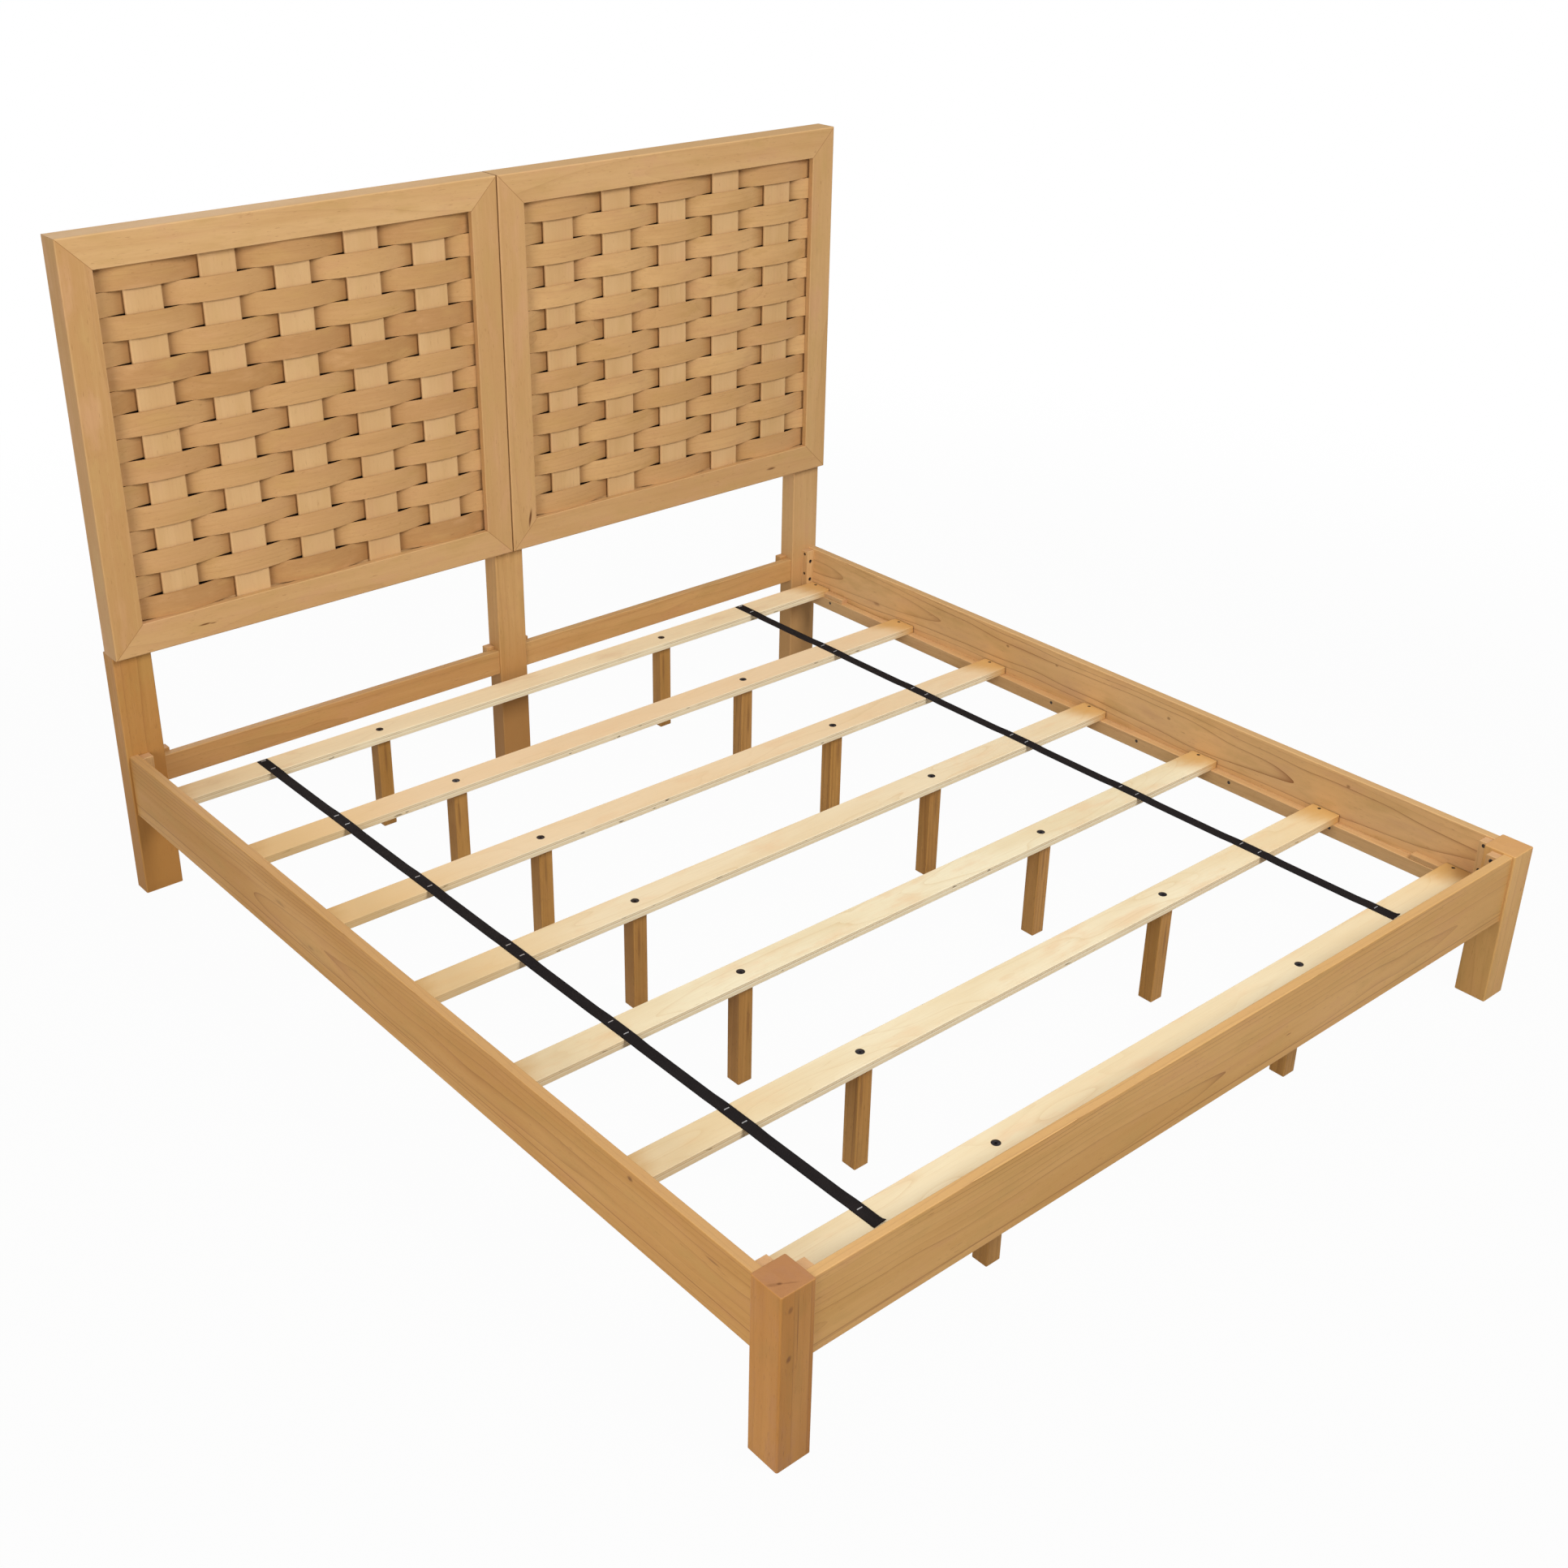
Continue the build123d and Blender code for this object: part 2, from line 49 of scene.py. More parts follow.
SLAT_COUNT = 7
ROW_COUNT = 15
UPRIGHT_COUNT = 5


def tone(red, green, blue):
    """A colour as it looks on a screen, turned into light values."""
    values = []
    for shade in (red, green, blue):
        shade /= 255
        values.append(shade / 12.92 if shade <= 0.04045 else ((shade + 0.055) / 1.055) ** 2.4)
    return (*values, 1.0)


class Socket:
    """A shader socket that adds Math nodes where it stands in an expression."""

    def __init__(self, finish, link):
        self.finish = finish
        self.link = link

    def maths(self, operation, *others):
        return self.finish.node("ShaderNodeMath", {"operation": operation}, (self, *others))

    def __add__(self, other):
        return self.maths("ADD", other)

    def __sub__(self, other):
        return self.maths("SUBTRACT", other)

    def __rsub__(self, other):
        return self.finish.node("ShaderNodeMath", {"operation": "SUBTRACT"}, (other, self))

    def __mul__(self, other):
        return self.maths("MULTIPLY", other)

    def __truediv__(self, other):
        return self.maths("DIVIDE", other)

    def __pow__(self, other):
        return self.maths("POWER", other)

    def __abs__(self):
        return self.maths("ABSOLUTE")

    def least(self, other):
        return self.maths("MINIMUM", other)

    def most(self, other):
        return self.maths("MAXIMUM", other)

    def whole(self):
        return self.maths("FLOOR")

    def nearest(self):
        return self.maths("ROUND")

    __radd__ = __add__
    __rmul__ = __mul__


class Finish:
    """One material, its nodes and the places on the piece that they read."""

    def __init__(self, name):
        self.material = bpy.data.materials.new(name)
        self.material.use_nodes = True
        self.tree = self.material.node_tree
        self.shader = self.tree.nodes["Principled BSDF"]
        self.place = self.node("ShaderNodeTexCoord", output="Object")
        self.axes = dict(zip("XYZ", self.split(self.place)))

    def node(self, kind, settings=None, sockets=(), output=0):
        made = self.tree.nodes.new(kind)
        for key, value in (settings or {}).items():
            setattr(made, key, value)
        for key, value in sockets.items() if isinstance(sockets, dict) else enumerate(sockets):
            self.feed(made.inputs[key], value)
        return Socket(self, made.outputs[output])

    def feed(self, target, value):
        if isinstance(value, Socket):
            self.tree.links.new(value.link, target)
        else:
            target.default_value = value

    def split(self, vector):
        made = self.node("ShaderNodeSeparateXYZ", sockets=(vector,)).link.node
        return [Socket(self, out) for out in made.outputs]

    def vector(self, operation, a, b=(0, 0, 0), output=0):
        return self.node("ShaderNodeVectorMath", {"operation": operation}, (a, b), output)

    def noise(self, vector, scale, detail=2.0, rough=0.5, output="Fac"):
        """Soft noise; scale is how many patches lie in a metre along each axis."""
        sockets = {"Vector": self.vector("MULTIPLY", vector, scale), "Scale": 1.0}
        sockets |= {"Detail": detail, "Roughness": rough}
        return self.node("ShaderNodeTexNoise", {"noise_dimensions": "3D"}, sockets, output)

    def chance(self, value, output="Value"):
        """A number, or a colour, drawn by chance for each whole value."""
        return self.node("ShaderNodeTexWhiteNoise", {"noise_dimensions": "1D"}, {"W": value}, output)

    def rise(self, value, start, end):
        """0 before start, 1 after end, smooth between them. It falls where end is the lower."""
        sockets = {"Value": value, "From Min": start, "From Max": end}
        return self.node("ShaderNodeMapRange", {"interpolation_type": "SMOOTHSTEP"}, sockets)

    def mix(self, factor, a, b):
        settings = {"data_type": "RGBA", "blend_type": "MIX"}
        return self.node("ShaderNodeMix", settings, {0: factor, 6: a, 7: b}, 2)

    def spot(self, centre, size, slant):
        """1 in the middle of a small oval turned by slant, 0 outside it."""
        turn = [math.radians(angle) for angle in slant]
        sockets = {"Vector": self.place, "Location": centre, "Rotation": turn, "Scale": size}
        local = self.node("ShaderNodeMapping", {"vector_type": "TEXTURE"}, sockets)
        return self.rise(self.vector("LENGTH", local, output=1), 1.0, 0.25)

    def line(self, slope, offset, width):
        """1 on a thin line where the plane slope . place = offset meets the surface."""
        terms = [self.axes[axis] * share for axis, share in zip("XYZ", slope) if share]
        gap = sum(terms[1:], terms[0]) - offset
        return self.rise(abs(gap), width, width * 0.35)

    def edge(self, low, high):
        """How far a place on a squared piece is from the piece's nearest edge."""
        a, b, c = [(self.axes[n] - p).least(q - self.axes[n]) for n, p, q in zip("XYZ", low, high)]
        return a.least(b).most(a.most(b).least(c))

    def facing(self, axis):
        """1 on faces across this axis, 0 on faces along it."""
        normal = self.node("ShaderNodeNewGeometry", output="Normal")
        return self.rise(abs(self.split(normal)["XYZ".index(axis)]), 0.6, 0.9)

    def done(self, colour, roughness, height, depth):
        """Feeds the shader, with height as fine relief of this depth."""
        sockets = {"Height": height, "Strength": 1.0, "Distance": depth}
        bump = self.node("ShaderNodeBump", {}, sockets, "Normal")
        for key, value in {"Base Color": colour, "Roughness": roughness, "Normal": bump}.items():
            self.feed(self.shader.inputs[key], value)
        return self.material


def dress(node, material):
    """Gives a CAD node its finish."""
    mesh = nodes[node].data
    mesh.materials.clear()
    mesh.materials.append(material)


# Stained wood, from the headboard's frame and its woven strips to the rails and the legs
# Under dust, each stain keeps a tone for its top faces that paints light and shade on them
HONEY = {
    "pale": tone(220, 181, 128),
    "mid": tone(207, 165, 111),
    "deep": tone(186, 140, 86),
    "blush": tone(206, 159, 116),
    "olive": tone(195, 156, 99),
    "line": tone(150, 102, 57),
    "dust_and_top_light": tone(202, 162, 112),
}
BLOND = {
    "pale": tone(219, 181, 130),
    "mid": tone(206, 165, 113),
    "deep": tone(194, 150, 98),
    "blush": tone(210, 165, 120),
    "olive": tone(202, 163, 108),
    "line": tone(166, 120, 74),
}
TOFFEE = {
    "pale": tone(222, 180, 124),
    "mid": tone(208, 164, 110),
    "deep": tone(171, 123, 72),
    "blush": tone(202, 156, 107),
    "olive": tone(196, 153, 97),
    "line": tone(144, 98, 54),
}
AMBER = {
    "pale": tone(209, 166, 110),
    "mid": tone(194, 148, 92),
    "deep": tone(172, 122, 66),
    "blush": tone(194, 145, 98),
    "olive": tone(184, 145, 88),
    "line": tone(130, 82, 43),
}
TAWNY = {
    "pale": tone(205, 157, 93),
    "mid": tone(189, 140, 77),
    "deep": tone(170, 118, 58),
    "blush": tone(190, 138, 83),
    "olive": tone(181, 140, 77),
    "line": tone(132, 80, 40),
    "dust_and_top_light": tone(207, 165, 113),
}
MARIGOLD = {
    "pale": tone(220, 174, 109),
    "mid": tone(206, 158, 92),
    "deep": tone(184, 134, 71),
    "blush": tone(205, 153, 101),
    "olive": tone(195, 153, 89),
    "line": tone(134, 84, 43),
    "dust_and_top_light": tone(214, 171, 115),
}
RUSSET = {
    "pale": tone(202, 152, 87),
    "mid": tone(184, 134, 67),
    "deep": tone(156, 107, 49),
    "blush": tone(175, 126, 72),
    "olive": tone(168, 127, 68),
    "line": tone(116, 70, 35),
}
CHESTNUT = {
    "pale": tone(190, 135, 70),
    "mid": tone(174, 117, 54),
    "deep": tone(154, 97, 42),
    "blush": tone(172, 122, 85),
    "olive": tone(166, 122, 62),
    "line": tone(112, 68, 34),
}
GOLDEN = HONEY | {"pale": tone(234, 192, 134), "mid": tone(223, 180, 120), "line": tone(140, 86, 46)}
KNOT = tone(112, 70, 38)

WOOD_SHINE = 0.22
WOOD_RELIEF = 0.2 * MM
# How many patches of each pattern lie in a metre: twice across the grain, then along it
GRAIN = {
    "sway": (3.5, 3.5, 0.9),
    "fade": (7, 7, 1.3),
    "cloud": (10, 10, 1.6),
    "mottle": (24, 24, 8),
    "rub": (45, 45, 9),
    "streak": (75, 75, 2.2),
    "fleck": (420, 420, 50),
    "fibre": (430, 430, 9),
    "pore": (800, 800, 60),
}
SWAY_REACH = (0.05, 0.05, 0)
STRIP_JUMP = (0.06, 0.06, 5.0)
CUT_HEIGHT = (3, 9)
LEAN_SHARE = (0.4, 1.0)
FOOT_SHADE = (420 * MM, 160 * MM)
EDGE_WEAR = (4.4 * MM, 1.4 * MM)
EDGE_RAGGED = 3 * MM
BOARD_SEAM = (0.9 * MM, 0.3 * MM)
MITRE_WIDTH = 1.2 * MM
MITRE_STRENGTH = 0.75
GRAIN_TURN = {
    "X": Euler((0, -math.pi / 2, 0)),
    "Y": Euler((math.pi / 2, 0, 0)),
    "Z": Euler((0, 0, 0)),
}


def grain_place(finish, along, heart, lean, draw):
    """Object places turned so that the grain runs along Z, with the tree's heart line on that axis."""
    tilt = [math.radians(draw.uniform(*LEAN_SHARE) * draw.choice((-lean, lean))) for _ in range(2)]
    turn = (Euler((*tilt, 0)).to_matrix() @ GRAIN_TURN[along].to_matrix()).to_4x4()
    shift = Vector((0, 0, draw.uniform(*CUT_HEIGHT))) - turn @ heart
    sockets = {"Vector": finish.place, "Location": shift, "Rotation": turn.to_euler()}
    return finish.node("ShaderNodeMapping", {"vector_type": "POINT"}, sockets)


def wood(name, along, low, high, stain, seed, heart=(60, 60, 60), ring=9, lean=0.9, figure=0.75, crisp=8.0,
         fine=1.0, depth=0.0, spread=0.3, blotch=0.45, strips=None, glued=False, painted_recess_shade=None, painted_top_light=0.0,
         footing=0.0, joints=(), marks=()):
    """A stained solid wood: yearly rings round a heart line, streaks, fibres, pores and rubbed edges.

    heart is the way from the piece's middle to the heart line and ring the rings' width, in millimetres.
    lean is how many degrees the heart line may lean by. figure is how strong the rings are, crisp how thin
    their lines, fine how strong the streaks, fibres and pores, and blotch how strong the patches.
    depth is how dark the stain is and spread how far it varies by chance.
    strips says where the piece is made up of strips side by side: the axis across them, where they
    start and their width. Where they are glued, their seams show. recess is where painted shade darkens
    the wood from front to back, dusty is how much its top faces take a tone that paints light and shade
    on them, and footing how much painted shade darkens its foot.
    joints are dark lines on the piece, and marks its knots and cracks.
    """
    draw = random.Random(seed)
    finish = Finish(name)
    grain = grain_place(finish, along, (low + high) / 2 + Vector(heart) * MM, lean, draw)
    shade = draw.random()
    warmth = draw.random()
    if strips:
        axis, start, step = strips
        count = (finish.axes[axis] - start) / step
        number = count.whole()
        jump = finish.vector("MULTIPLY", finish.chance(number + seed, "Color"), STRIP_JUMP)
        grain = finish.vector("ADD", grain, jump)
        shade = finish.chance(number + (seed + 31))
        warmth = finish.chance(number + (seed + 67))

    sway = finish.noise(grain, GRAIN["sway"], 3.0, 0.5, "Color")
    sway = finish.vector("MULTIPLY", finish.vector("SUBTRACT", sway, (0.5, 0.5, 0.5)), SWAY_REACH)
    across = finish.vector("MULTIPLY", finish.vector("ADD", grain, sway), (1, 1, 0))
    turns = finish.vector("LENGTH", across, output=1) / (ring * MM)
    year = turns.whole()
    ripe = turns - year
    strong = finish.chance(year + seed) ** 1.4
    fade = finish.rise(finish.noise(grain, GRAIN["fade"]), 0.34, 0.58)
    ring_line = ripe ** crisp * (0.1 + 0.9 * strong) * (0.25 + 0.75 * fade)
    season = ripe * finish.chance(year + (seed + 0.5))

    cloud = finish.rise(finish.noise(grain, GRAIN["cloud"], 3.0, 0.55), 0.3, 0.7)
    streak = finish.noise(grain, GRAIN["streak"], 3.0, 0.55)
    mottle = finish.noise(grain, GRAIN["mottle"], 3.0, 0.55)
    fibre = finish.noise(grain, GRAIN["fibre"], 3.0, 0.6)
    pore = finish.rise(finish.noise(grain, GRAIN["pore"], 1.0), 0.66, 0.76)
    fleck = finish.rise(finish.noise(grain, GRAIN["fleck"], 1.0), 0.7, 0.77)
    rub = finish.noise(grain, GRAIN["rub"], 2.0, 0.6)

    layers = [
        (depth + spread * shade, "deep"),
        (0.6 * spread * warmth, "blush"),
        (blotch * finish.rise(mottle, 0.5, 0.75), "blush"),
        (0.9 * blotch * finish.rise(mottle, 0.5, 0.28), "olive"),
        (0.4 * fine * finish.rise(streak, 0.48, 0.75), "deep"),
        (0.35 * fine * finish.rise(streak, 0.46, 0.25), "pale"),
        (0.2 * figure * season, "deep"),
        (figure * ring_line, "line"),
        (0.3 * fine * finish.rise(fibre, 0.45, 0.8), "deep"),
        (0.25 * fine * finish.rise(fibre, 0.5, 0.2), "pale"),
        (0.4 * fine * pore, "line"),
        (0.35 * fleck, "line"),
        (0.6 * finish.facing(along), "blush"),
    ]
    # Painted shade: the rows darken towards the back of the weave, where they dive behind the uprights
    if painted_recess_shade:
        front, back = painted_recess_shade
        layers.append((0.3 * finish.rise(finish.axes["Y"], front, back), "deep"))
        layers.append((0.45 * finish.rise(finish.axes["Y"], (front + back) / 2, back), "line"))
    # Painted light and shade: the top faces take their own tone, set by how the light falls on them
    if painted_top_light:
        layers.append((painted_top_light * finish.facing("Z"), "dust_and_top_light"))
    # Painted shade: darker towards the foot
    if footing:
        layers.append((footing * finish.rise(finish.axes["Z"], *FOOT_SHADE), "deep"))
    worn = 0.0
    if not strips or glued:
        worn = finish.rise(finish.edge(low, high) + rub * EDGE_RAGGED, *EDGE_WEAR)
        layers.append((0.35 * worn, "pale"))
    if glued:
        seam = finish.rise(abs(count - count.nearest()) * step, *BOARD_SEAM)
        layers.append((0.3 * seam * (1 - finish.facing(along)), "line"))
    for slope, offset, width, strength in joints:
        layers.append((strength * finish.line(slope, offset, width), "line"))

    colour = finish.mix(cloud, stain["pale"], stain["mid"])
    for share, part in layers:
        colour = finish.mix(share, colour, stain[part])
    for centre, size, slant, strength in marks:
        oval = finish.spot(Vector(centre) * MM, Vector(size) * MM, slant)
        colour = finish.mix(strength * oval, colour, KNOT)
    roughness = 0.5 + 0.1 * cloud + 0.12 * pore - 0.06 * worn
    height = 0.5 * fibre - 0.8 * pore - 0.6 * fleck - 0.35 * ring_line + 0.25 * rub
    finish.shader.inputs["Specular IOR Level"].default_value = WOOD_SHINE
    return finish.done(colour, roughness, height, WOOD_RELIEF)


def wooden(node, along, stain, seed, **looks):
    """Gives a CAD node a stained wood of its own."""
    low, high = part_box(node)
    dress(node, wood(f"{node}_wood", along, low, high, stain, seed, **looks))


def mitres(low, high, member, side):
    """The slanted joints at the two ends of a headboard member."""
    outer_is_low = (side < 0) == member.startswith("outer")
    outer = low.x if outer_is_low else high.x
    lean = 1 if outer_is_low else -1
    ends = {
        "top_rail": ((low.x, high.z, 1), (high.x, high.z, -1)),
        "bottom_rail": ((low.x, low.z, -1), (high.x, low.z, 1)),
    }.get(member, ((outer, high.z, lean), (outer, low.z, -lean)))
    return [((1, 0, slope), x + slope * z, MITRE_WIDTH, MITRE_STRENGTH) for x, z, slope in ends]


# Cracks, knots and pins: middle and size in millimetres, slant in degrees, strength
UPRIGHT = (0, 0, 0)
CRACK_SLANT = (0, 10, 0)
HEADBOARD_MARKS = {
    "left_bottom_rail": [
        ((-795, 1019, 605), (20, 4, 2.6), UPRIGHT, 1.0),
        ((-776, 1019, 603), (10, 4, 1.8), UPRIGHT, 0.8),
    ],
    "right_inner_stile": [((51, 1019, 648), (5, 4, 30), CRACK_SLANT, 1.0)],
    "right_bottom_rail": [((812, 1019, 606), (20, 4, 4.5), UPRIGHT, 0.85)],
}
LEFT_RAIL_MARKS = [
    ((-994, 385, 286), (3, 26, 5), UPRIGHT, 0.35),
    ((-994, 274, 240), (3, 16, 5), UPRIGHT, 0.35),
    ((-994, -731, 326), (3, 9, 6), UPRIGHT, 0.8),
    ((-994, -931, 300), (3, 24, 3), UPRIGHT, 0.55),
]
RIGHT_RAIL_MARKS = [
    ((974, 302, 303), (3, 7, 5), UPRIGHT, 0.6),
    ((974, 142, 307), (3, 6, 4), UPRIGHT, 0.5),
    ((974, -201, 296), (3, 7, 5), UPRIGHT, 0.6),
    ((974, -680, 318), (3, 7, 5), UPRIGHT, 0.6),
    ((974, 769, 262), (3, 16, 6), UPRIGHT, 0.45),
]
PIN_SLANT = (0, 22, 0)
CURL_SLANT = (0, 0, -30)
LEFT_LEG_MARKS = [
    ((-981, -1089, 312), (6.5, 6, 9), PIN_SLANT, 0.55),
    ((-982, -1089, 219), (6.5, 6, 9), PIN_SLANT, 0.75),
    ((-966, -1089, 270), (1.4, 4, 95), UPRIGHT, 0.6),
    ((-981, -1064, 344), (6, 3.5, 4), CURL_SLANT, 0.85),
    ((-990, -1060, 344), (14, 5, 4), CURL_SLANT, 0.35),
    ((-968, -1072, 344), (20, 2, 4), CURL_SLANT, 0.4),
]
RIGHT_LEG_MARKS = [((985, -1089, 250), (3, 5, 6), UPRIGHT, 0.45)]
# The dark streak on each support leg: its size, how far off the middle it lies and how high
STREAK_SIZE = (5, 14, 60)
STREAK_STRAY = (-10, 6)
STREAK_HEIGHT = (135, 185)
STREAK_STRENGTH = 0.45

# How dark the stain is; most pieces took a little more of it on the left
MEMBERS = ("top_rail", "bottom_rail", "outer_stile", "inner_stile")
STAIN_DEPTH = {
    "left": {
        "top_rail": 0.0,
        "bottom_rail": 0.3,
        "outer_stile": 0.65,
        "inner_stile": 0.6,
        "post": 0.4,
        "stretcher": 0.35,
    },
    "right": {
        "top_rail": 0.1,
        "bottom_rail": 0.25,
        "outer_stile": 0.45,
        "inner_stile": 0.5,
        "post": 0.15,
        "stretcher": 0.0,
    },
}
ROW_STAIN = {
    "left": {"seed": 1431, "depth": 0.2, "spread": 0.7},
    "right": {"seed": 1321, "depth": 0.0, "spread": 0.45},
}
POST_STAIN = {"left": TAWNY, "right": HONEY}
POST_GRAIN = {"figure": 0.45, "fine": 0.55, "blotch": 0.6}
# From the middle of the weave's thickness, where the painted shade on the rows starts and where it is
# darkest
ROW_RECESS_SHADE = (-2 * MM, 6.5 * MM)
# Seeds of the chance patterns, so that no two pieces look alike
SEEDS = {
    "member": 51,
    "uprights": 216,
    "post": 417,
    "stretcher": 418,
    "cleat": 420,
    "block": 422,
    "support": 500,
}
SIDE_SEED = 40
STREAK_SEED = 20
for side, sign in SIDES.items():
    depths = STAIN_DEPTH[side]
    seeds = {piece: seed + SIDE_SEED * sign for piece, seed in SEEDS.items()}
    for i, member in enumerate(MEMBERS):
        node = f"{side}_{member}"
        looks = {
            "along": "X" if member.endswith("rail") else "Z",
            "heart": (25, 95, -30) if member.endswith("rail") else (30, 85, 0),
            "joints": mitres(*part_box(node), member, sign),
            "marks": HEADBOARD_MARKS.get(node, ()),
            "painted_top_light": 0.8 if member == "top_rail" else 0.0,
            "depth": depths[member],
            "figure": 0.25,
            "fine": 0.5,
            "blotch": 0.7,
        }
        wooden(node, stain=HONEY, seed=seeds["member"] + i, **looks)

    low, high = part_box(f"{side}_weave_rows")
    middle = (low.y + high.y) / 2
    looks = {
        "strips": ("Z", low.z, (high.z - low.z) / ROW_COUNT),
        "painted_recess_shade": [middle + offset for offset in ROW_RECESS_SHADE],
        "blotch": 0.9,
        "figure": 0.3,
        "fine": 0.4,
    }
    wooden(f"{side}_weave_rows", "X", TOFFEE, **looks, **ROW_STAIN[side])
    low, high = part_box(f"{side}_weave_uprights")
    strips = ("X", low.x, (high.x - low.x) / UPRIGHT_COUNT)
    looks = {"strips": strips, "spread": 0.25, "figure": 0.15, "fine": 0.2}
    wooden(f"{side}_weave_uprights", "Z", BLOND, seeds["uprights"], **looks)

    wooden(f"{side}_post", "Z", POST_STAIN[side], seeds["post"], heart=(40, 80, 0), footing=0.8,
           depth=depths["post"], **POST_GRAIN)
    wooden(f"{side}_stretcher", "X", AMBER, seeds["stretcher"], heart=(0, 70, -20),
           depth=depths["stretcher"], **POST_GRAIN)
    wooden(f"{side}_cleat", "Y", HONEY, seeds["cleat"], heart=(50, 0, 40), figure=0.5)
    for i, block in enumerate(("head_block", "foot_block", "foot_rail_block")):
        wooden(f"{side}_{block}", "Z", HONEY, seeds["block"] + i, heart=(60, 40, 0), figure=0.5)
    for i in range(1, SLAT_COUNT + 1):
        node = f"{side}_support_{i}"
        low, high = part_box(node)
        draw = random.Random(i + STREAK_SEED * sign)
        across = (low.x + high.x) / 2 / MM + draw.uniform(*STREAK_STRAY)
        place = (across, low.y / MM, draw.uniform(*STREAK_HEIGHT))
        streaks = [(place, STREAK_SIZE, UPRIGHT, STREAK_STRENGTH)]
        wooden(node, "Z", RUSSET, seeds["support"] + i, heart=(70, -50, 0), spread=0.5, marks=streaks)

RAIL_GRAIN = {
    "ring": 7,
    "lean": 0.7,
    "figure": 1.1,
    "crisp": 12.0,
    "fine": 0.4,
    "blotch": 0.6,
    "painted_top_light": 0.6,
}
GLUE_JOINT = [((0, 0, 1), 226 * MM, 1.4 * MM, 0.6)]
FOOT_STREAK = [((0, 0, 1), 209 * MM, 2.0 * MM, 0.45)]
wooden("left_side_rail", "Y", TAWNY, 919, heart=(62, 0, -14), marks=LEFT_RAIL_MARKS, joints=GLUE_JOINT,
       **RAIL_GRAIN)
wooden("right_side_rail", "Y", GOLDEN, 959, heart=(70, 0, 12), marks=RIGHT_RAIL_MARKS, **RAIL_GRAIN)
wooden("foot_rail", "X", MARIGOLD, 982, heart=(0, 66, -26), joints=FOOT_STREAK, **RAIL_GRAIN)
# Each leg's stain, seed and marks; its glued boards start a little outside its left face
LEGS = {"left": (CHESTNUT, 24, LEFT_LEG_MARKS), "right": (MARIGOLD, 38, RIGHT_LEG_MARKS)}
LEG_BOARD = 32 * MM
LEG_BOARD_START = 5 * MM
for side, (stain, seed, marks) in LEGS.items():
    low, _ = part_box(f"{side}_leg")
    strips = ("X", low.x - LEG_BOARD_START, LEG_BOARD)
    wooden(f"{side}_leg", "Z", stain, seed, heart=(110, 90, 0), strips=strips, glued=True, marks=marks,
           figure=0.3, fine=0.45, blotch=0.6)
wooden("centre_post", "Z", AMBER, 81, heart=(40, 70, 0), footing=0.9, **POST_GRAIN)
wooden("stretcher_blocks", "Z", AMBER, 83)
wooden("stop_blocks", "Y", HONEY, 84)

# Backing boards; their patterns are patches in a metre along X, Y and Z
VENEER_RELIEF = 0.15 * MM
# Near-black painted shade for the boards' side towards the strips
BACKING_SLIT_SHADE = (tone(26, 16, 12), tone(40, 26, 20))
BACKING_VENEER = {"figure": (0.9, 6, 6), "cloud": (1.4, 9, 9), "fibre": (9, 380, 380)}
BACKING_START = (3, 5, 7)
BACKING_BANDS = 14.0


def backing():
    """The boards behind the weave: brown plywood whose side towards the strips carries near-black painted
    shade.
    """
    low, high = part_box("back_panels")
    finish = Finish("backing_board")
    veneer = finish.vector("ADD", finish.place, BACKING_START)
    figure = finish.noise(veneer, BACKING_VENEER["figure"], 2.0, 0.45) * BACKING_BANDS
    band = figure.whole()
    contour = (figure - band) ** 6.0 * finish.chance(band)
    cloud = finish.noise(veneer, BACKING_VENEER["cloud"], 3.0, 0.55)
    fibre = finish.noise(veneer, BACKING_VENEER["fibre"], 3.0, 0.6)
    # Painted shade: the half towards the strips turns near-black
    painted_slit_shade = finish.rise(finish.axes["Y"], (low.y + high.y) / 2, low.y)
    colour = finish.mix(finish.rise(cloud, 0.3, 0.7), AMBER["mid"], AMBER["deep"])
    colour = finish.mix(0.6 * contour, colour, AMBER["line"])
    colour = finish.mix(0.3 * finish.rise(fibre, 0.45, 0.8), colour, AMBER["line"])
    colour = finish.mix(painted_slit_shade, colour, finish.mix(fibre, *BACKING_SLIT_SHADE))
    finish.shader.inputs["Specular IOR Level"].default_value = WOOD_SHINE
    return finish.done(colour, 0.6 + 0.2 * fibre, fibre - 0.5 * contour, VENEER_RELIEF)


dress("back_panels", backing())

# Pale plywood of the slats
CREAM = {
    "pale": tone(242, 230, 197),
    "mid": tone(233, 215, 176),
    "painted_light_peach": tone(252, 228, 186),
    "pink": tone(234, 201, 159),
    "gold": tone(231, 193, 132),
    "line": tone(213, 181, 131),
    "stain": tone(203, 155, 84),
    "edge": tone(250, 238, 208),
    "cross": tone(237, 213, 168),
    "glue": tone(146, 106, 60),
    # Painted shade for the bolt wells and the voids in the layers
    "painted_hole_shade": tone(56, 42, 34),
}
# Patches of each pattern in a metre along X, Y and Z
SLAT_VENEER = {
    "cloud": (2.4, 11, 11),
    "blotch": (7, 20, 20),
    "figure": (1.5, 8, 8),
    "fibre": (9, 420, 420),
    "fleck": (40, 260, 260),
    "wave": (5, 5, 5),
    "glue": (14, 14, 14),
    "gap": (26, 26, 90),
    "soak": (12, 30, 30),
}
SLAT_BANDS = 17.0
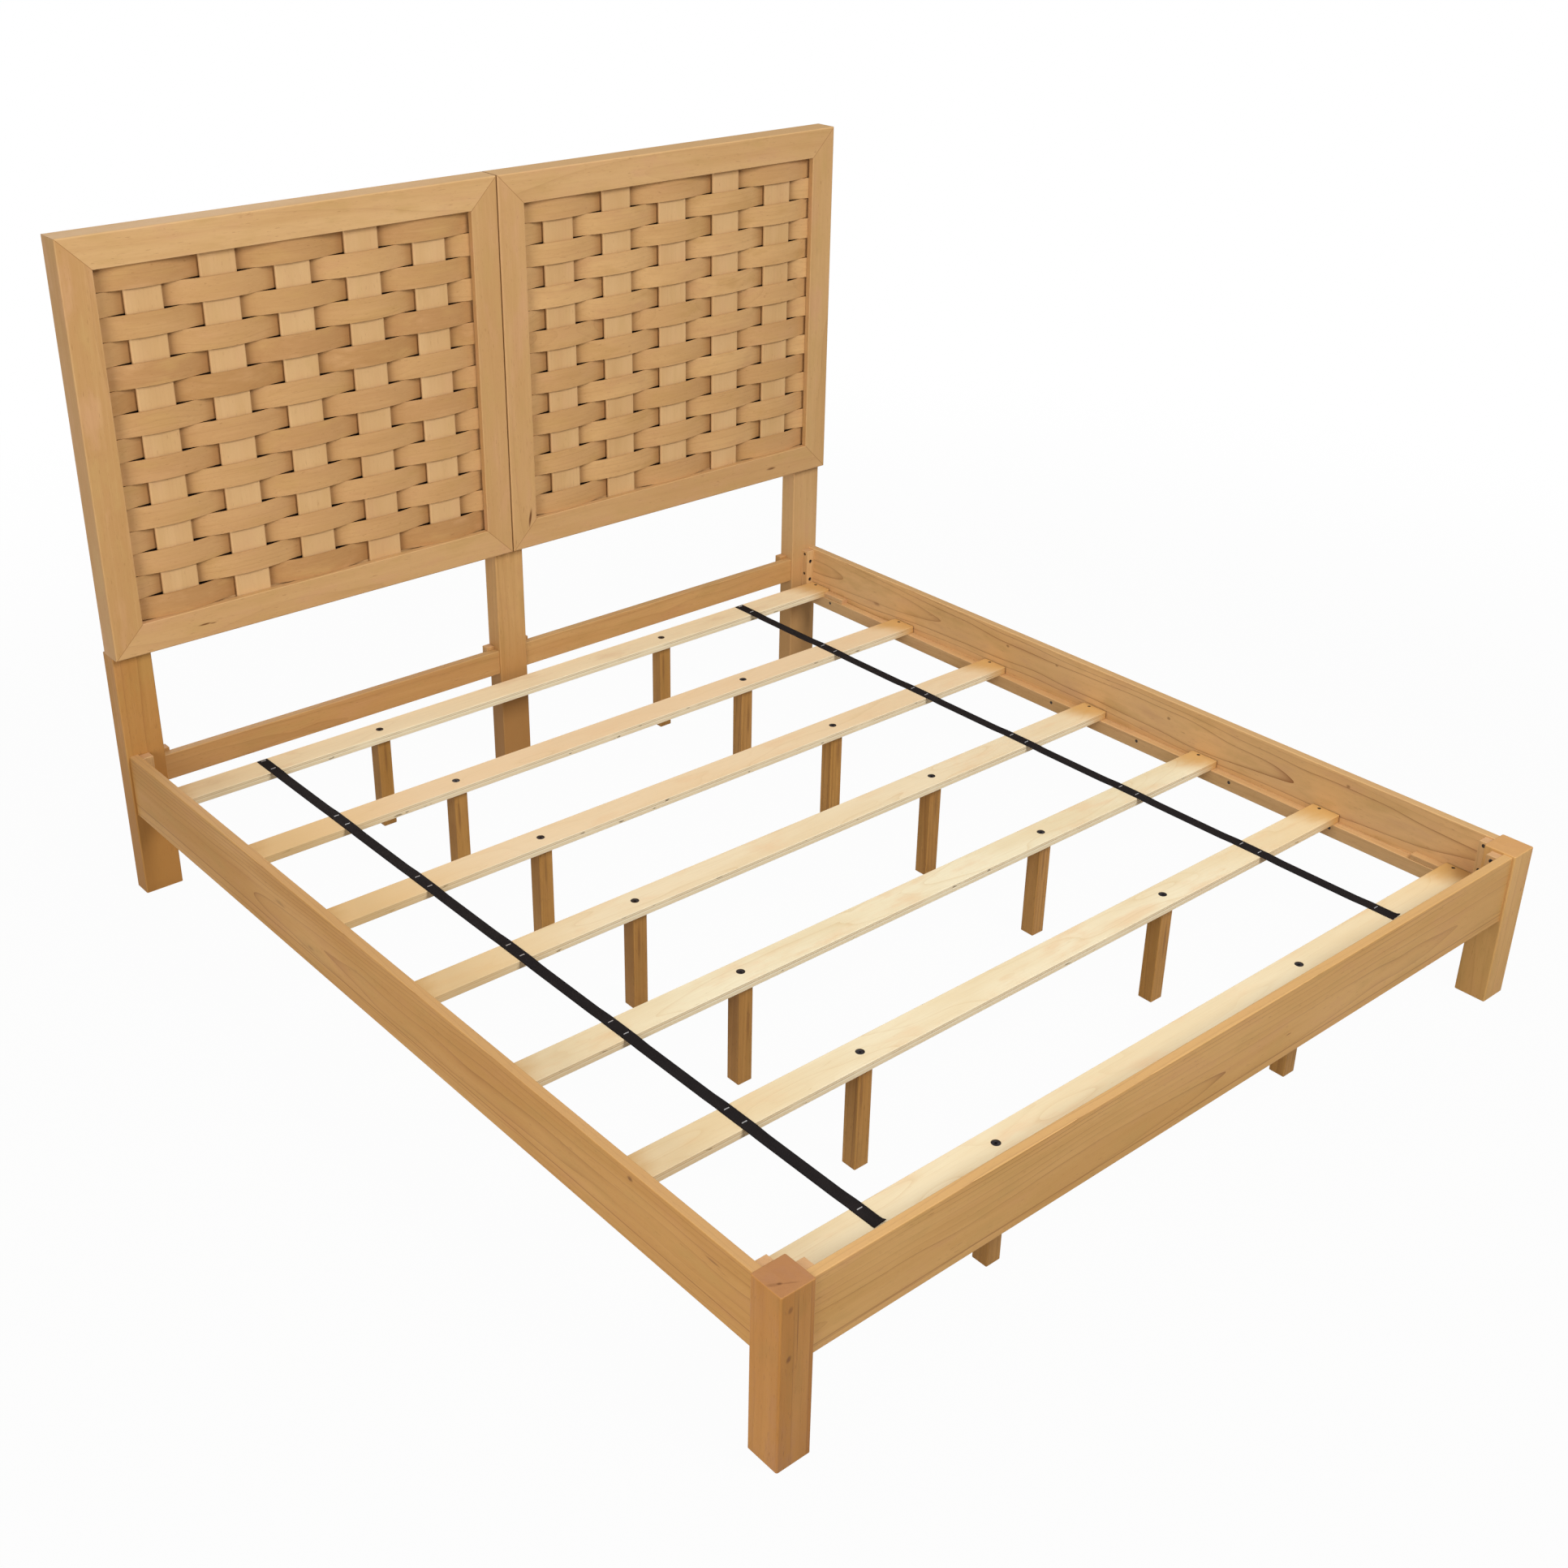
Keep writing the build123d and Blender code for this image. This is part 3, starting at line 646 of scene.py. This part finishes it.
# Millimetres below a slat's top: its glue lines, each with its strength, and the middles of the layers
# whose grain runs across it
GLUE_LINES = {2.8: 0.6, 6.6: 0.8, 11.6: 0.25, 15.4: 0.25}
CROSS_LAYERS = (4.7, 13.5)
GLUE_FILM = (0.65 * MM, 0.25 * MM)
CROSS_HALF = (2.2 * MM, 1.8 * MM)
LAYER_WAVE = 0.8 * MM
GOLD_REACH = (450 * MM, 900 * MM)
STAIN_REACH = 70 * MM
STAIN_FADE = 20 * MM
STAIN_SOAK = 50 * MM
# Painted shadow along a slat's ends: where it starts and where it is darkest, measured from the end
END_SHADOW_RIM = (4 * MM, 1 * MM)
BOLT_WELL = (9.3 * MM, 8.2 * MM)
VENEER_START = (2, 9)
SLAT_SEED = 90
# From the headboard to the foot: how much a paler peach paints light on each slat against the headboard's
# shade, how pink it is, and how golden its two ends are
SLAT_TINTS = (
    (0.75, 0.0, 0.3, 0.0),
    (0.0, 0.75, 0.85, 0.0),
    (0.0, 0.6, 0.8, 0.0),
    (0.0, 0.3, 0.7, 0.0),
    (0.0, 0.0, 0.35, 0.0),
    (0.0, 0.1, 0.4, 0.4),
    (0.0, 0.1, 0.2, 0.4),
)


def ply(name, low, high, bolts, seed, tints):
    """Rotary-cut face veneer over thin layers that show at the edges, with ochre-stained ends."""
    draw = random.Random(seed)
    finish = Finish(name)
    x, z = finish.axes["X"], finish.axes["Z"]
    shift = [draw.uniform(*VENEER_START) for _ in range(3)]
    veneer = finish.vector("ADD", finish.place, shift)
    cloud = finish.rise(finish.noise(veneer, SLAT_VENEER["cloud"], 3.0, 0.55), 0.32, 0.68)
    blotch = finish.rise(finish.noise(veneer, SLAT_VENEER["blotch"], 3.0, 0.6), 0.5, 0.72)
    figure = finish.noise(veneer, SLAT_VENEER["figure"], 2.0, 0.45) * SLAT_BANDS
    band = figure.whole()
    flame = (figure - band) ** 7.0 * finish.chance(band + seed)
    fibre = finish.noise(veneer, SLAT_VENEER["fibre"], 3.0, 0.6)
    fleck = finish.rise(finish.noise(veneer, SLAT_VENEER["fleck"], 1.0), 0.74, 0.8)

    painted_light_peach, pink, *golds = tints
    colour = finish.mix(cloud, CREAM["pale"], CREAM["mid"])
    # Painted light: a paler peach lifts the slat out of the headboard's shade
    colour = finish.mix(painted_light_peach, colour, CREAM["painted_light_peach"])
    colour = finish.mix(pink, colour, CREAM["pink"])
    colour = finish.mix(0.6 * blotch, colour, CREAM["pink"])
    colour = finish.mix(0.5 * flame, colour, CREAM["line"])
    colour = finish.mix(0.22 * finish.rise(fibre, 0.45, 0.8), colour, CREAM["line"])
    colour = finish.mix(0.4 * fleck, colour, CREAM["line"])

    depth = high.z - z + finish.noise(veneer, SLAT_VENEER["wave"]) * LAYER_WAVE - LAYER_WAVE / 2
    side = finish.facing("Y")
    colour = finish.mix(0.7 * side, colour, CREAM["edge"])
    layer = 0.0
    for level in CROSS_LAYERS:
        layer = finish.rise(abs(depth - level * MM), *CROSS_HALF) + layer
    colour = finish.mix(0.5 * side * layer, colour, CREAM["cross"])
    dark = finish.rise(finish.noise(veneer, SLAT_VENEER["glue"], 3.0, 0.6), 0.25, 0.55)
    for level, strength in GLUE_LINES.items():
        film = finish.rise(abs(depth - level * MM), *GLUE_FILM)
        colour = finish.mix(strength * film * side * dark, colour, CREAM["glue"])
    # Painted shade in the voids of the cross layers at the edges
    gap = finish.rise(finish.noise(veneer, SLAT_VENEER["gap"], 2.0, 0.5), 0.67, 0.71)
    colour = finish.mix(0.7 * gap * side * layer, colour, CREAM["painted_hole_shade"])

    for sign, share in zip((-1, 1), golds):
        colour = finish.mix(share * finish.rise(sign * x, *GOLD_REACH), colour, CREAM["gold"])
    soak = finish.noise(veneer, SLAT_VENEER["soak"], 3.0, 0.6) * STAIN_SOAK
    soak = soak + 0.5 * (finish.axes["Y"] - low.y)
    end = finish.rise(abs(x) + soak, high.x - STAIN_REACH, high.x + STAIN_FADE)
    colour = finish.mix(0.85 * end, colour, CREAM["stain"])
    colour = finish.mix(0.5 * finish.facing("X"), colour, CREAM["glue"])
    # Painted shadow: a dark line along the slat's ends
    painted_end_shadow = finish.rise(high.x - abs(x), *END_SHADOW_RIM)
    colour = finish.mix(0.6 * painted_end_shadow, colour, CREAM["glue"])
    middle = (low + high) / 2
    # Painted shade in the bolt wells
    for bolt in bolts:
        offset = finish.vector("SUBTRACT", finish.place, (bolt, middle.y, 0))
        reach = finish.vector("LENGTH", finish.vector("MULTIPLY", offset, (1, 1, 0)), output=1)
        colour = finish.mix(finish.rise(reach, *BOLT_WELL), colour, CREAM["painted_hole_shade"])
    roughness = 0.5 + 0.12 * cloud - 0.1 * end
    height = 0.5 * fibre - 0.5 * fleck - 0.8 * gap * side
    finish.shader.inputs["Specular IOR Level"].default_value = WOOD_SHINE
    return finish.done(colour, roughness, height, VENEER_RELIEF)


support_low, support_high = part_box("right_support_1")
bolt_x = (support_low.x + support_high.x) / 2
for i, tints in enumerate(SLAT_TINTS, 1):
    low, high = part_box(f"slat_{i}")
    dress(f"slat_{i}", ply(f"slat_{i}_plywood", low, high, (-bolt_x, bolt_x), SLAT_SEED + i, tints))

# Metal fasteners
METAL_GRIT = (900, 900, 900)
METAL_SMEAR = (140, 140, 140)
METAL_RELIEF = 0.05 * MM


def metal(name, colour, dark, roughness, metallic):
    """A metal with fine grit, darker where it has stayed untouched."""
    finish = Finish(name)
    grit = finish.noise(finish.place, METAL_GRIT, 3.0, 0.6)
    smear = finish.rise(finish.noise(finish.place, METAL_SMEAR, 3.0, 0.6), 0.35, 0.65)
    finish.shader.inputs["Metallic"].default_value = metallic
    colour = finish.mix(0.5 * grit + 0.5 * smear, dark, colour)
    return finish.done(colour, roughness + 0.2 * smear, grit, METAL_RELIEF)


black_steel = metal("black_steel", tone(92, 86, 90), tone(44, 40, 42), roughness=0.32, metallic=0.85)
screw_steel = metal("screw_steel", tone(82, 66, 50), tone(36, 27, 21), roughness=0.4, metallic=0.5)
bright_steel = metal("bright_steel", tone(240, 240, 241), tone(208, 208, 211), roughness=0.3, metallic=0.6)
dress("slat_bolts", black_steel)
dress("block_bolts", black_steel)
dress("wood_screws", screw_steel)
dress("staples", bright_steel)

# Black webbing straps, flat on the slats, narrower and slack between them
STRAP_THICK = 1.3 * MM
STRAP_LIFT = 0.1 * MM
STRAP_RIBS = 10
STRAP_STEPS = 280
STRAP_SAG = 1.0 * MM
STRAP_CURL = 0.6 * MM
STRAP_PULL_IN = 0.05
STRAP_SETTLE = 45 * MM
STRAP_TIP = 12 * MM
STRAP_TIP_RISE = 4 * MM
STRAP_TIP_TWIST = 0.4
WARP_YARN = 1.1 * MM
WEFT_YARN = 1.6 * WARP_YARN
YARN_RELIEF = 0.25 * MM
WEBBING_SHINE = 0.12
WEBBING_FUZZ = (700, 700, 700)
WEBBING_DUST = (30, 9, 30)
BLACK = {
    "low": tone(20, 17, 18),
    "high": tone(34, 29, 30),
    "fuzz": tone(44, 39, 39),
    "dust_and_top_light": tone(56, 50, 49),
}


def webbing():
    """Ribbed woven webbing: lengthwise yarns that cross over and under the weft."""
    finish = Finish("black_webbing")
    warp = (finish.axes["X"] * (math.pi / WARP_YARN)).maths("SINE")
    weft = (finish.axes["Y"] * (math.pi / WEFT_YARN)).maths("SINE")
    weave = warp * weft
    fuzz = finish.noise(finish.place, WEBBING_FUZZ, 3.0, 0.6)
    dust_and_top_light = finish.rise(finish.noise(finish.place, WEBBING_DUST, 3.0, 0.6), 0.45, 0.75)
    colour = finish.mix(0.5 + 0.5 * weave, BLACK["low"], BLACK["high"])
    colour = finish.mix(0.3 * fuzz, colour, BLACK["fuzz"])
    colour = finish.mix(0.2 * dust_and_top_light, colour, BLACK["dust_and_top_light"])
    finish.shader.inputs["Specular IOR Level"].default_value = WEBBING_SHINE
    return finish.done(colour, 0.7 + 0.15 * fuzz, weave + 0.4 * fuzz, YARN_RELIEF)


def smooth_step(value):
    """0 up to 0, 1 from 1 on, smooth between them."""
    value = min(max(value, 0.0), 1.0)
    return value * value * (3 - 2 * value)


def strap(side, material):
    """One strap: a flat band that dips, pulls in and curls its left edge between the slats."""
    low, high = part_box(f"{side}_strap")
    middle = (low + high) / 2
    half = (high.x - low.x) / 2
    slats = [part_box(f"slat_{i}") for i in range(1, SLAT_COUNT + 1)]
    shape = bmesh.new()
    bmesh.ops.create_grid(shape, x_segments=STRAP_RIBS, y_segments=STRAP_STEPS, size=0.5)
    bmesh.ops.scale(shape, verts=shape.verts, vec=(2 * half, high.y - low.y, 1))
    bmesh.ops.translate(shape, verts=shape.verts, vec=(middle.x, middle.y, low.z + STRAP_LIFT))
    for vert in shape.verts:
        rib = (vert.co.x - middle.x) / half
        span = min(max(a.y - vert.co.y, vert.co.y - b.y) for a, b in slats)
        slack = smooth_step(span / STRAP_SETTLE)
        tip = max(low.y + STRAP_TIP - vert.co.y, 0) / STRAP_TIP
        vert.co.x = middle.x + rib * half * (1 - STRAP_PULL_IN * slack)
        vert.co.z -= slack * (STRAP_SAG + STRAP_CURL * max(-rib, 0) ** 3)
        vert.co.z += STRAP_TIP_RISE * tip ** 2 * (1 - STRAP_TIP_TWIST + STRAP_TIP_TWIST * rib)
    bmesh.ops.recalc_face_normals(shape, faces=shape.faces)
    bmesh.ops.solidify(shape, geom=shape.faces[:], thickness=-STRAP_THICK)
    bmesh.ops.recalc_face_normals(shape, faces=shape.faces)
    for face in shape.faces:
        face.smooth = True
    name = f"{side}_webbing_strap"
    mesh = bpy.data.meshes.new(name)
    shape.to_mesh(mesh)
    shape.free()
    mesh.materials.append(material)
    made = bpy.data.objects.new(name, mesh)
    bpy.context.scene.collection.objects.link(made)
    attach(made, "root")
    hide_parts(f"{side}_strap")


black_webbing = webbing()
for side in SIDES:
    strap(side, black_webbing)


# Floor, light and camera
def aim(place, target):
    """A turn that points an object's -Z from place to target."""
    return (Vector(target) - Vector(place)).to_track_quat("-Z", "Y").to_matrix().to_4x4()


def lamp(name, place, target, size, power):
    """A soft square lamp that the camera doesn't see."""
    light = bpy.data.lights.new(name, "AREA")
    light.shape = "SQUARE"
    light.size = size
    light.energy = power
    made = bpy.data.objects.new(name, light)
    made.visible_camera = False
    made.matrix_world = Matrix.Translation(place) @ aim(place, target)
    bpy.context.scene.collection.objects.link(made)


# Each lamp's place, what it points at, its width and its power
LAMPS = {
    "key_light": ((0.6, -4.3, 4.9), (0, 0.3, 0.6), 2.6, 265),
    "side_light": ((-4.8, -1.4, 1.5), (0, 0.2, 0.6), 2.5, 130),
    "top_light": ((0.2, 0.9, 4.4), (0, 0.2, 0.3), 3.0, 40),
    "back_light": ((0.0, 3.4, 1.4), (0, 1.08, 0.9), 2.4, 30),
}
for name, setting in LAMPS.items():
    lamp(name, *setting)

# The floor looks almost white, lets the shadows show faintly and turns fully white far from the bed
FLOOR_DROP = 0.5 * MM
FLOOR_REACH = 40
FLOOR_TONE = tone(150, 147, 143)
FLOOR_WHITE = 0.97
FLOOR_FADE = (2.0, 4.5)
shape = bmesh.new()
bmesh.ops.create_grid(shape, x_segments=1, y_segments=1, size=FLOOR_REACH)
bmesh.ops.translate(shape, verts=shape.verts, vec=(0, 0, -FLOOR_DROP))
sheet = bpy.data.meshes.new("floor")
shape.to_mesh(sheet)
shape.free()
floor = bpy.data.objects.new("floor", sheet)
bpy.context.scene.collection.objects.link(floor)

ground = Finish("pale_floor")
ray = ground.node("ShaderNodeLightPath").link.node.outputs
seen = Socket(ground, ray["Is Camera Ray"])
for bounce in ("Is Glossy Ray", "Is Transmission Ray"):
    seen = seen.most(Socket(ground, ray[bounce]))
far = ground.rise(ground.vector("LENGTH", ground.place, output=1), *FLOOR_FADE)
cover = seen * (FLOOR_WHITE + (1 - FLOOR_WHITE) * far)
plain = ground.node("ShaderNodeBsdfDiffuse", {}, {"Color": FLOOR_TONE})
glow = ground.node("ShaderNodeEmission", {}, {"Color": (1, 1, 1, 1), "Strength": 1.0})
blend = ground.node("ShaderNodeMixShader", {}, (cover, plain, glow))
ground.feed(ground.tree.nodes["Material Output"].inputs["Surface"], blend)
floor.data.materials.append(ground.material)

# The world is white behind the bed and gives it a weaker, even light
AMBIENT = 0.25
world = bpy.data.worlds.new("studio")
bpy.context.scene.world = world
world.use_nodes = True
tree = world.node_tree
paths = tree.nodes.new("ShaderNodeLightPath")
strength = tree.nodes.new("ShaderNodeMapRange")
strength.inputs["To Min"].default_value = AMBIENT
strength.inputs["To Max"].default_value = 1.0
tree.links.new(paths.outputs["Is Camera Ray"], strength.inputs["Value"])
tree.nodes["Background"].inputs["Color"].default_value = (1, 1, 1, 1)
tree.links.new(strength.outputs[0], tree.nodes["Background"].inputs["Strength"])

# The camera stands where the photograph was taken from; pixels are of its 1932 by 1932 frame
IMAGE = 1932
FOCAL = 2396.324
CENTRE = (895.775, 922.432)
SENSOR = 36
CAMERA_PLACE = (-2.40037, -2.62328, 2.28530)
CAMERA_TURN = math.radians(40.12018)
CAMERA_RISE = math.radians(-27.28309)
CAMERA_ROLL = math.radians(0.46100)
level = math.cos(CAMERA_RISE)
ahead = Vector((math.sin(CAMERA_TURN) * level, math.cos(CAMERA_TURN) * level, math.sin(CAMERA_RISE)))
right = ahead.cross(Vector((0, 0, 1))).normalized()
up = right.cross(ahead)
right_rolled = math.cos(CAMERA_ROLL) * right + math.sin(CAMERA_ROLL) * up
up_rolled = -math.sin(CAMERA_ROLL) * right + math.cos(CAMERA_ROLL) * up
lens = bpy.data.cameras.new("camera")
lens.sensor_width = SENSOR
lens.lens = FOCAL / IMAGE * SENSOR
lens.shift_x = (IMAGE / 2 - CENTRE[0]) / IMAGE
lens.shift_y = -(IMAGE / 2 - CENTRE[1]) / IMAGE
camera = bpy.data.objects.new("camera", lens)
facing = Matrix((right_rolled, up_rolled, -ahead)).transposed().to_4x4()
camera.matrix_world = Matrix.Translation(CAMERA_PLACE) @ facing
bpy.context.scene.collection.objects.link(camera)
bpy.context.scene.camera = camera
bpy.context.scene.view_settings.view_transform = "Standard"
